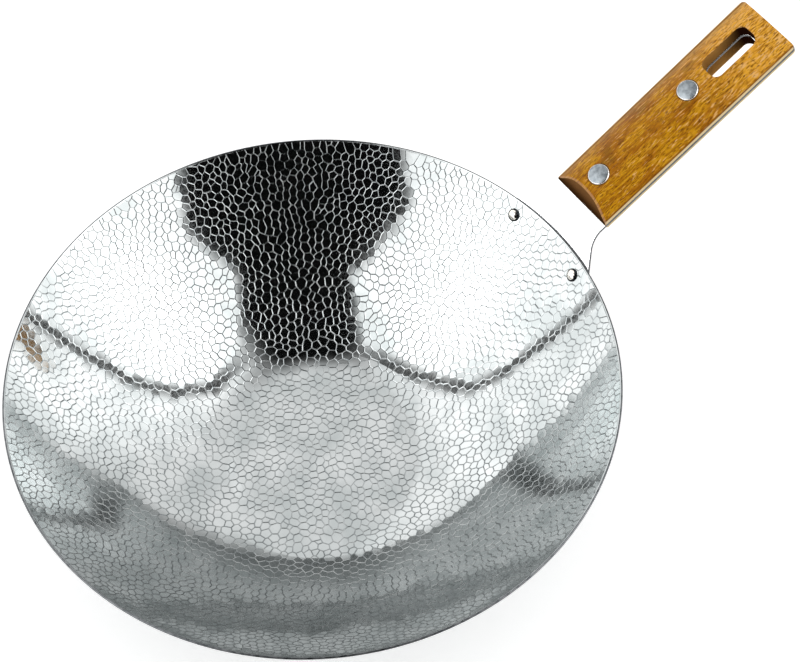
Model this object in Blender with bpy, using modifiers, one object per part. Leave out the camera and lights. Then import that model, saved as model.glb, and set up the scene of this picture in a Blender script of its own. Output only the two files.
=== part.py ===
"""Stainless steel wok with a riveted wooden handle.

Lengths are metres and +Z is up. The origin is the middle of the flat underside
that the wok stands on, and the handle points along +X. The bowl, the handle
bracket with its full tang, the two wooden scales and every rivet are separate
solids. Pieces that touch keep SEAT_GAP between their faces.
"""

import math

import bmesh
import bpy
from mathutils import Matrix, Vector

# Fits between pieces
SEAT_GAP = 0.0003
HOLE_CLEARANCE = 0.0003

# Bowl, one pressed sheet. The radii and slopes are those of its inside face
RIM_RADIUS = 0.160
BOWL_SHEET = 0.0015
FLAT_RADIUS = 0.050
KNUCKLE_RADIUS = 0.040
KNUCKLE_SLOPE = math.radians(21.0)
LOWER_WALL_RADIUS = 0.179
LOWER_WALL_SLOPE = math.radians(37.0)
UPPER_WALL_RADIUS = 0.300

# Handle bracket, one stamping: a flange on the wall, a long bend and a full tang.
# Drops and depths down the wall start at BEND_RISE, where wall and tang would meet
BRACKET_SHEET = 0.0018
HANDLE_TILT = math.radians(25.0)
BEND_RISE = 0.0088
BEND_RADIUS = 0.0518
NECK_REACH = 0.0173
NECK_STRAIGHT = 0.0096
NECK_FILLET = 0.017
SHOULDER_DROP = 0.0148
SHOULDER_FILLET = 0.008
FLANGE_DEPTH = 0.0287
FLANGE_CORNER = 0.010

# Wooden grip, two crowned scales on the tang
GRIP_LENGTH = 0.1381
GRIP_FRONT_WIDTH = 0.0402
GRIP_END_WIDTH = 0.0416
GRIP_END_CORNER = 0.0035
CROWN_HEIGHT = 0.010
CROWN_EDGE_HEIGHT = 0.0018
CROWN_OVERHANG = 0.00075
FRONT_LEAN = math.radians(29.0)

# Hanging slot through the grip
SLOT_LENGTH = 0.0312
SLOT_WIDTH = 0.014
SLOT_CORNER = 0.0045
SLOT_END_MARGIN = 0.0116
SLOT_TANG_LIP = 0.0005

# Two-piece rivets through the grip
GRIP_RIVET_FRONT_INSET = 0.0164
GRIP_RIVET_TO_SLOT = 0.0141
GRIP_RIVET_HEAD_RADIUS = 0.006
GRIP_RIVET_HEAD_EDGE = 0.0009
GRIP_RIVET_DOME = 0.0017
GRIP_RIVET_SEAT_DEPTH = 0.001
GRIP_RIVET_TUBE_RADIUS = 0.0034
GRIP_RIVET_SHANK_RADIUS = 0.0022
GRIP_RIVET_TUBE_RELIEF = 0.0015
GRIP_RIVET_SHANK_RELIEF = 0.0008

# Solid rivets through the bowl wall and the flange
BOWL_RIVET_SPACING = 0.0512
BOWL_RIVET_DROP = 0.008
BOWL_RIVET_SIDE_MARGIN = 0.0084
BOWL_RIVET_SHANK_RADIUS = 0.0021
BOWL_RIVET_HEAD_RADIUS = 0.0033
BOWL_RIVET_HEAD_DOME = 0.0019
BOWL_RIVET_FORMED_RADIUS = 0.0034
BOWL_RIVET_FORMED_DOME = 0.0016

# Facets
BOWL_STEPS = 72
KNUCKLE_FACETS = 3
LOWER_WALL_FACETS = 5
UPPER_WALL_FACETS = 6
RIM_FACETS = 4
RIVET_STEPS = 20
DOME_FACETS = 3
CORNER_FACETS = 5
CROWN_FACETS = 14
BEND_CUTS = 12
FLANGE_CUTS = 5
ACROSS_CUTS = 16

# Tolerances of the modelling itself
MERGE_DISTANCE = 0.000001
DIFFERENCE_STEP = 0.0001
BISECTION_STEPS = 50
FLAT_ANGLE = math.radians(0.1)
SHARP_ANGLE = math.radians(30.0)

STEEL = ("stainless_steel", (0.78, 0.78, 0.79, 1.0), 0.12, 1.0)
RIVET_STEEL = ("rivet_steel", (0.62, 0.63, 0.65, 1.0), 0.25, 1.0)
WOOD = ("varnished_wood", (0.55, 0.29, 0.07, 1.0), 0.32, 0.0)


# Bowl profile


def wall_arcs():
    """Arcs of the bowl's inside profile: centre radius, centre height, radius, slopes."""
    knuckle = (FLAT_RADIUS, BOWL_SHEET + KNUCKLE_RADIUS, KNUCKLE_RADIUS)
    lower = tangent_arc(knuckle, KNUCKLE_SLOPE, LOWER_WALL_RADIUS)
    upper = tangent_arc(lower, LOWER_WALL_SLOPE, UPPER_WALL_RADIUS)
    return knuckle, lower, upper


def tangent_arc(arc, slope, radius):
    """The next arc, which leaves the last one where it has this slope."""
    centre_r, centre_z, last = arc
    change = last - radius
    return centre_r + change * math.sin(slope), centre_z - change * math.cos(slope), radius


def arc_point(arc, slope, offset):
    """Point of an arc at a slope, moved outwards through the sheet by offset."""
    centre_r, centre_z, radius = arc
    reach = radius + offset
    return centre_r + reach * math.sin(slope), centre_z - reach * math.cos(slope)


def rim_slope():
    """Slope at which the rounded rim edge reaches RIM_RADIUS."""
    centre_r, _, radius = wall_arcs()[2]
    half = BOWL_SHEET / 2
    return math.asin((RIM_RADIUS - half - centre_r) / (radius + half))


def face_profile(offset):
    """One face of the bowl from the axis to the rim, as radius and height."""
    knuckle, lower, upper = wall_arcs()
    points = [(0.0, BOWL_SHEET - offset), (FLAT_RADIUS, BOWL_SHEET - offset)]
    stretches = (
        (knuckle, 0.0, KNUCKLE_SLOPE, KNUCKLE_FACETS),
        (lower, KNUCKLE_SLOPE, LOWER_WALL_SLOPE, LOWER_WALL_FACETS),
        (upper, LOWER_WALL_SLOPE, rim_slope(), UPPER_WALL_FACETS),
    )
    for arc, start, end, facets in stretches:
        for step in range(1, facets + 1):
            slope = start + (end - start) * step / facets
            points.append(arc_point(arc, slope, offset))
    return points


def rim_profile():
    """Half-round edge that closes the sheet at the rim, from inside to outside."""
    half = BOWL_SHEET / 2
    slope = rim_slope()
    centre_r, centre_z = arc_point(wall_arcs()[2], slope, half)
    points = []
    for step in range(1, RIM_FACETS):
        turn = slope + math.pi / 2 - math.pi * step / RIM_FACETS
        points.append((centre_r + half * math.cos(turn), centre_z + half * math.sin(turn)))
    return points


# Bracket and handle placing


def wall_seat(slope, across):
    """Point on the bracket's seat, SEAT_GAP outside the wall, at a distance across."""
    radius, height = arc_point(wall_arcs()[2], slope, BOWL_SHEET + SEAT_GAP)
    return math.sqrt(radius * radius - across * across), across, height


def seat_radius():
    """Radius of the upper wall's seat, for distances along it."""
    return UPPER_WALL_RADIUS + BOWL_SHEET + SEAT_GAP


def handle_origin():
    """Front of the grip on the upper face of the tang."""
    bend_x, _, bend_z = wall_seat(rim_slope() + BEND_RISE / seat_radius(), 0.0)
    front_x = RIM_RADIUS + NECK_REACH
    return front_x, bend_z + (front_x - bend_x) * math.tan(HANDLE_TILT)


def tang_point(along, across, up=0.0):
    """Point given along, across and above the upper face of the tang."""
    front_x, front_z = handle_origin()
    cos, sin = math.cos(HANDLE_TILT), math.sin(HANDLE_TILT)
    return front_x + along * cos - up * sin, across, front_z + along * sin + up * cos


def handle_matrix():
    """Frame of the handle: X along the tang, Z up from its upper face."""
    front_x, front_z = handle_origin()
    return Matrix.Translation((front_x, 0.0, front_z)) @ Matrix.Rotation(-HANDLE_TILT, 4, "Y")


def bend_slope(across):
    """Wall slope where the plane of the tang meets the bracket's seat, carried on past the rim."""
    front_x, front_z = handle_origin()
    low, high = 0.0, math.pi / 2
    for _ in range(BISECTION_STEPS):
        slope = (low + high) / 2
        x, _, z = wall_seat(slope, across)
        above = (z - front_z) * math.cos(HANDLE_TILT) - (x - front_x) * math.sin(HANDLE_TILT)
        low, high = (slope, high) if above < 0 else (low, slope)
    return slope


def bend_along(across):
    """Distance along the tang's plane to the bend, negative ahead of the grip."""
    x, _, _ = wall_seat(bend_slope(across), across)
    return (x - handle_origin()[0]) / math.cos(HANDLE_TILT)


def bend_reach():
    """Length of the bend on each side of the line where its two planes would meet."""
    return BEND_RADIUS * math.tan((rim_slope() - HANDLE_TILT) / 2)


def bracket_face(along, across):
    """Upper face of the bracket: on the wall, round the bend, then on the tang."""
    slope = bend_slope(across)
    bend = bend_along(across)
    reach = bend_reach()
    past = along - bend
    if past >= reach:
        return tang_point(along, across)
    if past <= -reach:
        return wall_seat(slope + past / seat_radius(), across)
    share = (past + reach) / (2 * reach)
    start = wall_seat(slope - reach / seat_radius(), across)
    corner = wall_seat(slope, across)
    end = tang_point(bend + reach, across)
    weights = ((1 - share) ** 2, 2 * share * (1 - share), share ** 2)
    return tuple(
        weights[0] * a + weights[1] * b + weights[2] * c for a, b, c in zip(start, corner, end)
    )


def bracket_place(along, across, up):
    """Place a point of the flat blank on the bent bracket."""
    if along - bend_along(across) >= bend_reach():
        return Vector(tang_point(along, across, up))
    step = DIFFERENCE_STEP
    ahead = bracket_face(along + step, across)
    behind = bracket_face(along - step, across)
    left = bracket_face(along, across + step)
    right = bracket_face(along, across - step)
    run = Vector([(a - b) / step for a, b in zip(ahead, behind)])
    side = Vector([(a - b) / step for a, b in zip(left, right)])
    return Vector(bracket_face(along, across)) + run.cross(side).normalized() * up


# Outlines


def rounded_outline(corners):
    """Closed outline through corners given as x, y and fillet radius, 0 for a sharp one."""
    points = []
    count = len(corners)
    for index, (x, y, radius) in enumerate(corners):
        if radius == 0:
            points.append((x, y))
            continue
        corner = Vector((x, y))
        before = (Vector(corners[index - 1][:2]) - corner).normalized()
        after = (Vector(corners[(index + 1) % count][:2]) - corner).normalized()
        half_angle = before.angle(after) / 2
        centre = corner + (before + after).normalized() * (radius / math.sin(half_angle))
        start = corner + before * (radius / math.tan(half_angle)) - centre
        end = corner + after * (radius / math.tan(half_angle)) - centre
        turn = start.angle_signed(end)
        for step in range(CORNER_FACETS + 1):
            spin = Matrix.Rotation(-turn * step / CORNER_FACETS, 2)
            points.append(tuple(centre + spin @ start))
    return points


def slot_outline(shrink):
    """Hanging slot, made smaller all round by shrink."""
    end = GRIP_LENGTH - SLOT_END_MARGIN - shrink
    start = slot_start() + shrink
    half = SLOT_WIDTH / 2 - shrink
    radius = SLOT_CORNER - shrink
    return rounded_outline(
        [(start, -half, radius), (end, -half, radius), (end, half, radius), (start, half, radius)]
    )


def slot_start():
    """Distance along the handle at which the hanging slot starts."""
    return GRIP_LENGTH - SLOT_END_MARGIN - SLOT_LENGTH


def half_flange():
    """Half the width of the flange, which reaches past the rivets."""
    return BOWL_RIVET_SPACING / 2 + BOWL_RIVET_SIDE_MARGIN


def half_grip(along):
    """Half the width of the tapered grip, and of the tang flush with it."""
    growth = (GRIP_END_WIDTH - GRIP_FRONT_WIDTH) / GRIP_LENGTH
    return (GRIP_FRONT_WIDTH + growth * along) / 2


def bracket_outline():
    """Flat blank of the bracket, along and across the handle."""
    bend = bend_along(0.0)
    half = [
        (bend - FLANGE_DEPTH, half_flange(), FLANGE_CORNER),
        (bend - SHOULDER_DROP, half_flange(), SHOULDER_FILLET),
        (-NECK_STRAIGHT, half_grip(-NECK_STRAIGHT), NECK_FILLET),
        (GRIP_LENGTH, half_grip(GRIP_LENGTH), GRIP_END_CORNER),
    ]
    mirrored = [(x, -y, radius) for x, y, radius in reversed(half)]
    return rounded_outline(half + mirrored)


def grip_outline():
    """Plan of a scale. It runs past the leaning front face, which cuts it."""
    front = -CROWN_HEIGHT
    half = [(front, half_grip(front), 0), (GRIP_LENGTH, half_grip(GRIP_LENGTH), GRIP_END_CORNER)]
    mirrored = [(x, -y, radius) for x, y, radius in reversed(half)]
    return rounded_outline(half + mirrored)


def crown_section():
    """Cross-section of a scale: flat base, low sides and a crowned top."""
    half = GRIP_END_WIDTH / 2 + CROWN_OVERHANG
    rise = CROWN_HEIGHT - CROWN_EDGE_HEIGHT
    radius = (half * half + rise * rise) / (2 * rise)
    spread = math.asin(half / radius)
    points = [(-half, 0.0), (half, 0.0)]
    for step in range(CROWN_FACETS + 1):
        angle = spread - 2 * spread * step / CROWN_FACETS
        points.append((radius * math.sin(angle), CROWN_HEIGHT - radius * (1 - math.cos(angle))))
    return points


# Modelling tools


def remove_everything():
    for thing in list(bpy.data.objects):
        bpy.data.objects.remove(thing)


def new_collection(name):
    collection = bpy.data.collections.new(name)
    bpy.context.scene.collection.children.link(collection)
    return collection


def new_material(recipe):
    name, colour, roughness, metallic = recipe
    material = bpy.data.materials.new(name)
    material.use_nodes = True
    shader = material.node_tree.nodes["Principled BSDF"]
    shader.inputs["Base Color"].default_value = colour
    shader.inputs["Roughness"].default_value = roughness
    shader.inputs["Metallic"].default_value = metallic
    material.diffuse_color = colour
    return material


def new_object(name, mesh, collection, parent=None, matrix=None):
    thing = bpy.data.objects.new(name, mesh)
    collection.objects.link(thing)
    thing.parent = parent
    if matrix is not None:
        thing.matrix_local = matrix
    return thing


def prism_mesh(name, outline, low, high):
    """Mesh of the solid between two heights over a closed outline."""
    curve = bpy.data.curves.new(name, "CURVE")
    curve.dimensions = "2D"
    curve.fill_mode = "BOTH"
    curve.extrude = (high - low) / 2
    spline = curve.splines.new("POLY")
    spline.points.add(len(outline) - 1)
    for point, (x, y) in zip(spline.points, outline):
        point.co = (x, y, 0.0, 1.0)
    spline.use_cyclic_u = True
    source = new_object(name, curve, bpy.context.scene.collection)
    graph = bpy.context.evaluated_depsgraph_get()
    mesh = bpy.data.meshes.new_from_object(source.evaluated_get(graph))
    bpy.data.objects.remove(source)
    bpy.data.curves.remove(curve)
    shape = bmesh.new()
    shape.from_mesh(mesh)
    bmesh.ops.remove_doubles(shape, verts=shape.verts, dist=MERGE_DISTANCE)
    bmesh.ops.dissolve_limit(
        shape, angle_limit=FLAT_ANGLE, verts=shape.verts, edges=shape.edges
    )
    bmesh.ops.translate(shape, verts=shape.verts, vec=(0.0, 0.0, (high + low) / 2))
    bmesh.ops.recalc_face_normals(shape, faces=shape.faces)
    shape.to_mesh(mesh)
    shape.free()
    return mesh


def turned_object(name, profile, steps, collection, parent=None, matrix=None):
    """Solid of revolution about local Z from a profile of radius and height."""
    mesh = bpy.data.meshes.new(name)
    edges = [(index, index + 1) for index in range(len(profile) - 1)]
    mesh.from_pydata([(radius, 0.0, height) for radius, height in profile], edges, [])
    thing = new_object(name, mesh, collection, parent, matrix)
    screw = thing.modifiers.new("turn", "SCREW")
    screw.steps = steps
    screw.render_steps = steps
    screw.use_merge_vertices = True
    screw.merge_threshold = MERGE_DISTANCE
    screw.use_smooth_shade = True
    return thing


def dome(radius, base, height):
    """Profile of a shallow dome from its tip down, or up, to its edge."""
    sphere = (radius * radius + height * height) / (2 * abs(height))
    spread = math.asin(radius / sphere)
    lift = math.copysign(1.0, height)
    points = []
    for step in range(DOME_FACETS + 1):
        angle = spread * step / DOME_FACETS
        points.append((sphere * math.sin(angle), base + height - lift * sphere * (1 - math.cos(angle))))
    return points


def as_cutter(thing):
    thing.hide_render = True
    thing.display_type = "WIRE"
    return thing


def cut(thing, cutter, operation="DIFFERENCE"):
    boolean = thing.modifiers.new(operation.lower() + "_" + cutter.name, "BOOLEAN")
    boolean.operation = operation
    boolean.object = cutter


def give_material(thing, material):
    thing.data.materials.append(material)


# Pieces


def make_bowl(collection, root):
    inside = face_profile(0.0)
    outside = face_profile(BOWL_SHEET)
    profile = inside + rim_profile() + list(reversed(outside))
    return turned_object("bowl", profile, BOWL_STEPS, collection, root)


def make_bracket(collection, handle):
    """Blank cut from sheet, sliced where it bends, then bent onto the wall."""
    mesh = prism_mesh("handle_bracket", bracket_outline(), -BRACKET_SHEET, 0.0)
    shape = bmesh.new()
    shape.from_mesh(mesh)
    reach = bend_reach()
    bend_end = bend_along(0.0) + reach
    bend_start = bend_along(half_flange()) - reach
    flange_end = bend_along(0.0) - FLANGE_DEPTH
    for step in range(BEND_CUTS + 1):
        slice_blank(shape, 0, bend_end + (bend_start - bend_end) * step / BEND_CUTS, bend_end)
    for step in range(1, FLANGE_CUTS):
        slice_blank(shape, 0, bend_start + (flange_end - bend_start) * step / FLANGE_CUTS, bend_end)
    for step in range(1, ACROSS_CUTS):
        slice_blank(shape, 1, half_flange() * (2 * step / ACROSS_CUTS - 1), bend_end)
    bmesh.ops.triangulate(shape, faces=shape.faces)
    to_handle = handle_matrix().inverted()
    for vert in shape.verts:
        vert.co = to_handle @ bracket_place(*vert.co)
    shape.to_mesh(mesh)
    shape.free()
    return new_object("handle_bracket", mesh, collection, handle)


def slice_blank(shape, axis, position, limit):
    """Cut the blank's faces ahead of limit along a plane square to an axis."""
    point = Vector((0.0, 0.0, 0.0))
    point[axis] = position
    normal = Vector((0.0, 0.0, 0.0))
    normal[axis] = 1.0
    faces = [face for face in shape.faces if axis == 0 or face.calc_center_median().x < limit]
    edges = {edge for face in faces for edge in face.edges}
    verts = {vert for face in faces for vert in face.verts}
    bmesh.ops.bisect_plane(
        shape, geom=faces + list(edges) + list(verts), dist=MERGE_DISTANCE,
        plane_co=point, plane_no=normal,
    )


def make_scale(name, collection, cutters, handle, side):
    """One wooden scale; side is 1 above the tang and -1 below it."""
    mesh = prism_mesh(name, crown_section(), 0.0, GRIP_LENGTH + CROWN_HEIGHT)
    for vert in mesh.vertices:
        across, up, along = vert.co
        lean = up * math.tan(FRONT_LEAN) if along < GRIP_LENGTH / 2 else 0.0
        vert.co = (along + lean, across, up)
    base = SEAT_GAP if side > 0 else -BRACKET_SHEET - SEAT_GAP
    matrix = Matrix.Translation((0.0, 0.0, base)) @ Matrix.Diagonal((1.0, 1.0, side, 1.0))
    mesh.transform(matrix)
    plan = prism_mesh(name + "_plan", grip_outline(), -CROWN_HEIGHT, 2 * CROWN_HEIGHT)
    plan.transform(matrix)
    face_outwards(mesh)
    face_outwards(plan)
    scale = new_object(name, mesh, collection, handle)
    cut(scale, as_cutter(new_object(name + "_plan", plan, cutters, handle)), "INTERSECT")
    return scale


def face_outwards(mesh):
    shape = bmesh.new()
    shape.from_mesh(mesh)
    bmesh.ops.recalc_face_normals(shape, faces=shape.faces)
    shape.to_mesh(mesh)
    shape.free()


def grip_rivet_places():
    """Distances along the handle of the two rivets through the grip."""
    return {
        "front": GRIP_RIVET_FRONT_INSET,
        "rear": slot_start() - GRIP_RIVET_TO_SLOT,
    }


def grip_heights():
    """Heights over the tang of the upper and lower seats of the rivet heads."""
    seat = SEAT_GAP + CROWN_HEIGHT - GRIP_RIVET_SEAT_DEPTH
    return seat, -BRACKET_SHEET - seat


def make_grip_rivet(place, along, collection, cutters, handle):
    """Male half from above, tubular half from below, and their stepped cutter."""
    upper, lower = grip_heights()
    matrix = Matrix.Translation((along, 0.0, 0.0))
    head = GRIP_RIVET_HEAD_RADIUS
    under_top = upper + SEAT_GAP
    under_bottom = lower - SEAT_GAP
    bore = GRIP_RIVET_SHANK_RADIUS + HOLE_CLEARANCE
    tube = GRIP_RIVET_TUBE_RADIUS
    tube_end = under_top - GRIP_RIVET_TUBE_RELIEF
    shank_end = under_bottom + GRIP_RIVET_SHANK_RELIEF
    male = dome(head, under_top + GRIP_RIVET_HEAD_EDGE, GRIP_RIVET_DOME)
    male += [
        (head, under_top), (GRIP_RIVET_SHANK_RADIUS, under_top),
        (GRIP_RIVET_SHANK_RADIUS, shank_end), (0.0, shank_end),
    ]
    female = [
        (0.0, under_bottom), (bore, under_bottom), (bore, tube_end), (tube, tube_end),
        (tube, under_bottom), (head, under_bottom),
    ]
    female += reversed(dome(head, under_bottom - GRIP_RIVET_HEAD_EDGE, -GRIP_RIVET_DOME))
    hole = tube + HOLE_CLEARANCE
    spot = head + HOLE_CLEARANCE
    beyond = 2 * CROWN_HEIGHT
    step_profile = [
        (0.0, upper + beyond), (spot, upper + beyond), (spot, upper), (hole, upper),
        (hole, lower), (spot, lower), (spot, lower - beyond), (0.0, lower - beyond),
    ]
    name = "handle_rivet_" + place
    rivets = [
        turned_object(name + "_male", male, RIVET_STEPS, collection, handle, matrix),
        turned_object(name + "_female", female, RIVET_STEPS, collection, handle, matrix),
    ]
    cutter = turned_object(name + "_hole", step_profile, RIVET_STEPS, cutters, handle, matrix)
    return rivets, as_cutter(cutter)


def bowl_rivet_matrix(side):
    """Frame on the wall's outside face, with Z pointing into the bowl."""
    across = side * BOWL_RIVET_SPACING / 2
    slope = rim_slope() - BOWL_RIVET_DROP / seat_radius()
    radius, height = arc_point(wall_arcs()[2], slope, BOWL_SHEET)
    azimuth = math.asin(across / radius)
    tip = Matrix.Translation((radius, 0.0, height)) @ Matrix.Rotation(-slope, 4, "Y")
    return Matrix.Rotation(azimuth, 4, "Z") @ tip


def make_bowl_rivet(name, side, collection, cutters, root):
    """Solid rivet: domed head inside the bowl, formed head under the flange."""
    matrix = bowl_rivet_matrix(side)
    shank = BOWL_RIVET_SHANK_RADIUS
    head_seat = BOWL_SHEET + SEAT_GAP
    formed_seat = -2 * SEAT_GAP - BRACKET_SHEET
    profile = dome(BOWL_RIVET_HEAD_RADIUS, head_seat, BOWL_RIVET_HEAD_DOME)
    profile += [(shank, head_seat), (shank, formed_seat)]
    profile += reversed(dome(BOWL_RIVET_FORMED_RADIUS, formed_seat, -BOWL_RIVET_FORMED_DOME))
    rivet = turned_object(name, profile, RIVET_STEPS, collection, root, matrix)
    hole = shank + HOLE_CLEARANCE
    above = head_seat + BOWL_SHEET
    below = formed_seat - BRACKET_SHEET
    drill = [(0.0, above), (hole, above), (hole, below), (0.0, below)]
    cutter = turned_object(name + "_hole", drill, RIVET_STEPS, cutters, root, matrix)
    return rivet, as_cutter(cutter)


def make_slot_cutter(name, shrink, cutters, handle):
    beyond = 2 * CROWN_HEIGHT
    mesh = prism_mesh(name, slot_outline(shrink), -BRACKET_SHEET - beyond, beyond)
    return as_cutter(new_object(name, mesh, cutters, handle))


def smooth_round_faces(thing):
    thing.data.shade_smooth()
    thing.data.set_sharp_from_angle(angle=SHARP_ANGLE)


def main():
    remove_everything()
    collection = new_collection("wok")
    cutters = new_collection("cutters")
    root = new_object("wok", None, collection)
    handle = new_object("handle_frame", None, collection, root, handle_matrix())
    steel, rivet_steel, wood = (new_material(recipe) for recipe in (STEEL, RIVET_STEEL, WOOD))

    bowl = make_bowl(collection, root)
    bracket = make_bracket(collection, handle)
    smooth_round_faces(bracket)
    scales = [
        make_scale("handle_scale_top", collection, cutters, handle, 1),
        make_scale("handle_scale_bottom", collection, cutters, handle, -1),
    ]
    rivets = []
    for place, along in grip_rivet_places().items():
        halves, hole = make_grip_rivet(place, along, collection, cutters, handle)
        rivets += halves
        for piece in [bracket] + scales:
            cut(piece, hole)
    for name, side in (("bowl_rivet_left", 1), ("bowl_rivet_right", -1)):
        rivet, hole = make_bowl_rivet(name, side, collection, cutters, root)
        rivets.append(rivet)
        cut(bowl, hole)
        cut(bracket, hole)
    slot = make_slot_cutter("slot_in_scales", 0.0, cutters, handle)
    tang_slot = make_slot_cutter("slot_in_tang", SLOT_TANG_LIP, cutters, handle)
    cut(bracket, tang_slot)
    for scale in scales:
        cut(scale, slot)
        give_material(scale, wood)
    for piece in (bowl, bracket):
        give_material(piece, steel)
    for rivet in rivets:
        give_material(rivet, rivet_steel)


main()
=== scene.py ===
"""Stainless steel wok with a riveted wooden handle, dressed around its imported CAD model.

Lengths are metres and +Z is up. The origin is the middle of the flat underside,
and the handle points along +X. Pieces of the handle are drawn in the handle's own
frame, X along the tang and Z up from its upper face, and are then moved to their place.
"""

import math
import random

import bmesh
import bpy
from mathutils import Matrix, Vector


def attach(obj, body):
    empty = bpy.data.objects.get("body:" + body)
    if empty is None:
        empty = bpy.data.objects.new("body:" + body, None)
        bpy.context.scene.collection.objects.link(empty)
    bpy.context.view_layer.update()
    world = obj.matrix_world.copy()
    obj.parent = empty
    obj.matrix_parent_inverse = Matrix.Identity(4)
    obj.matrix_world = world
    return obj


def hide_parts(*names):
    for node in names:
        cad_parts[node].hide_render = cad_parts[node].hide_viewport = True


# Fits between pieces
SEAT_GAP = 0.0003

# Bowl, one pressed sheet. The radii and slopes are those of its inside face
RIM_RADIUS = 0.160
BOWL_SHEET = 0.0015
FLAT_RADIUS = 0.050
KNUCKLE_RADIUS = 0.040
KNUCKLE_SLOPE = math.radians(21.0)
LOWER_WALL_RADIUS = 0.179
LOWER_WALL_SLOPE = math.radians(37.0)
UPPER_WALL_RADIUS = 0.300
RIM_FACETS = 6
OUTSIDE_FACETS = (9, 7, 6)

# Pressed honeycomb, laid out on the flat disc that the bowl is drawn from
CELL_PITCH = 0.0046
DRAWING_STRETCH = 1.11
CELL_JITTER = 0.38
CELL_EVENING = 0.3
CORNER_JITTER = 0.1
CELL_SEED = 11
SPARE_PITCHES = 4
SHORTEST_SIDE = 0.0010
SMALLEST_CELL = 0.000007
GROOVE_HALF_WIDTH = 0.00042
GROOVE_DEPTH = 0.00012
NARROWEST_RIM_CELL = 3 * GROOVE_HALF_WIDTH
CELL_LEAN = 0.003
CELL_SWELL = 0.006

# Handle bracket, one stamping: a flange on the wall, a long bend and a full tang. Drops
# and depths go down the wall from where it would meet the tang, BEND_RISE past the rim
BRACKET_SHEET = 0.0018
HANDLE_TILT = math.radians(25.0)
BEND_RISE = 0.0088
BEND_RADIUS = 0.0518
NECK_REACH = 0.0173
NECK_STRAIGHT = 0.0096
NECK_FILLET = 0.017
SHOULDER_DROP = 0.0148
SHOULDER_FILLET = 0.008
FLANGE_DEPTH = 0.0287
FLANGE_CORNER = 0.010
BEND_CUTS = 36
FLANGE_CUTS = 10
ACROSS_CUTS = 30
BLANK_EDGE_ROUNDING = 0.0004

# Wooden grip, two crowned scales on the tang
GRIP_LENGTH = 0.1381
GRIP_FRONT_WIDTH = 0.0402
GRIP_END_WIDTH = 0.0416
GRIP_END_CORNER = 0.0026
CROWN_HEIGHT = 0.010
CROWN_EDGE_HEIGHT = 0.0018
CROWN_OVERHANG = 0.00075
FLANK_SANDING = 0.0022
CROWN_CUTS = 36
FRONT_LEAN = math.radians(29.0)
END_LEAN = math.radians(9.0)
LEAN_REACH = 0.011
SCALE_EDGE_ROUNDING = 0.0006
END_CUT = 0.0015

# Hanging slot through the grip
SLOT_LENGTH = 0.0312
SLOT_WIDTH = 0.014
SLOT_CORNER = 0.0045
SLOT_END_MARGIN = 0.0116
SLOT_TANG_LIP = 0.00015

# Painted shade on the walls of the slot: how far it reaches into the wood round them, how
# far below the top of the crown it starts, and the distances along the slot between which it
# darkens
SLOT_SHADE_DEPTH = 0.0004
SLOT_SHADE_DROP = 0.0010
SLOT_SHADE_START = 0.012
SLOT_SHADE_END = 0.028

# Two-piece rivets through the grip
GRIP_RIVET_FRONT_INSET = 0.0164
GRIP_RIVET_TO_SLOT = 0.0141
GRIP_RIVET_HEAD_RADIUS = 0.006
GRIP_RIVET_HEAD_EDGE = 0.0009
GRIP_RIVET_DOME = 0.0009
GRIP_RIVET_DOME_INSET = 0.0005
GRIP_RIVET_DOME_STEP = 0.0002
GRIP_RIVET_SEAT_DEPTH = 0.001
GRIP_RIVET_TUBE_RADIUS = 0.0034
HOLE_CLEARANCE = 0.0003

# Rolled edge of a grip rivet's head: distances in from its side and up from its edge
GRIP_RIVET_ROLL = ((0.00035, 0.00012), (0.00015, -0.0001), (0.0, -0.0004))

# Solid rivets through the bowl wall and the flange
BOWL_RIVET_SPACING = 0.0512
BOWL_RIVET_DROP = 0.008
BOWL_RIVET_SIDE_MARGIN = 0.0084
BOWL_RIVET_SHANK_RADIUS = 0.0021
BOWL_RIVET_HEAD_RADIUS = 0.0036
BOWL_RIVET_HEAD_DOME = 0.0019
BOWL_RIVET_LIT_TOP_RADIUS = 0.0026
BOWL_RIVET_FORMED_RADIUS = 0.0034
BOWL_RIVET_FORMED_DOME = 0.0016

# Fineness of the meshes
CORNER_FACETS = 12
DOME_FACETS = 10
TURN_STEPS = 64
MERGE_DISTANCE = 0.000001
CUT_SNAP = 0.00002
DIFFERENCE_STEP = 0.0001
BISECTION_STEPS = 50
FLAT_ANGLE = math.radians(0.3)
SHARP_ANGLE = math.radians(32.0)

# Sockets of a Mix node that blends two colours
MIX_A, MIX_B, MIX_RESULT = 6, 7, 2

# Camera, found from the outline of the rim
CAMERA_LENS = 99.0
SENSOR_WIDTH = 36.0
CAMERA_DISTANCE = 1.138
CAMERA_ELEVATION = math.radians(56.39)
CAMERA_AZIMUTH = math.radians(-30.2)
CAMERA_YAW = math.radians(2.39)
CAMERA_PITCH = math.radians(-1.01)
CAMERA_ROLL = math.radians(5.49)
RIM_HEIGHT = 0.0768
FLOOR_HALF_SIZE = 6.0

# Light levels of the studio. The steel mirrors a tent of pale panels with two softboxes
ROOM_LIGHT = 1.0
BACK_PANEL = 1.36
LEFT_PANEL = 2.1
RIGHT_PANEL = 2.15
HORIZON = 0.36
SOFTBOX_LAMP = 6.0
SOFTBOX_CLOTH = 2.3
DARK_GAP = 0.003
SEAM = 0.08
FLOOR_LIFT = 0.35

# Outlines of the softboxes and of the dark nook behind the camera, anticlockwise, in
# degrees to the right of the zenith and degrees beyond it, seen from the camera's side
LEFT_SOFTBOX = ((-17.0, -90.0), (-17.0, -9.0), (-48.0, 19.0), (-90.0, 26.5))
RIGHT_SOFTBOX = ((90.0, 10.5), (46.0, 8.0), (32.0, 3.0), (22.5, -10.0), (22.5, -90.0))
DARK_NOOK = (
    (38.0, -90.0), (38.0, -39.0), (19.0, -33.0), (-19.0, -33.0), (-38.0, -39.0), (-38.0, -90.0),
)

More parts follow.
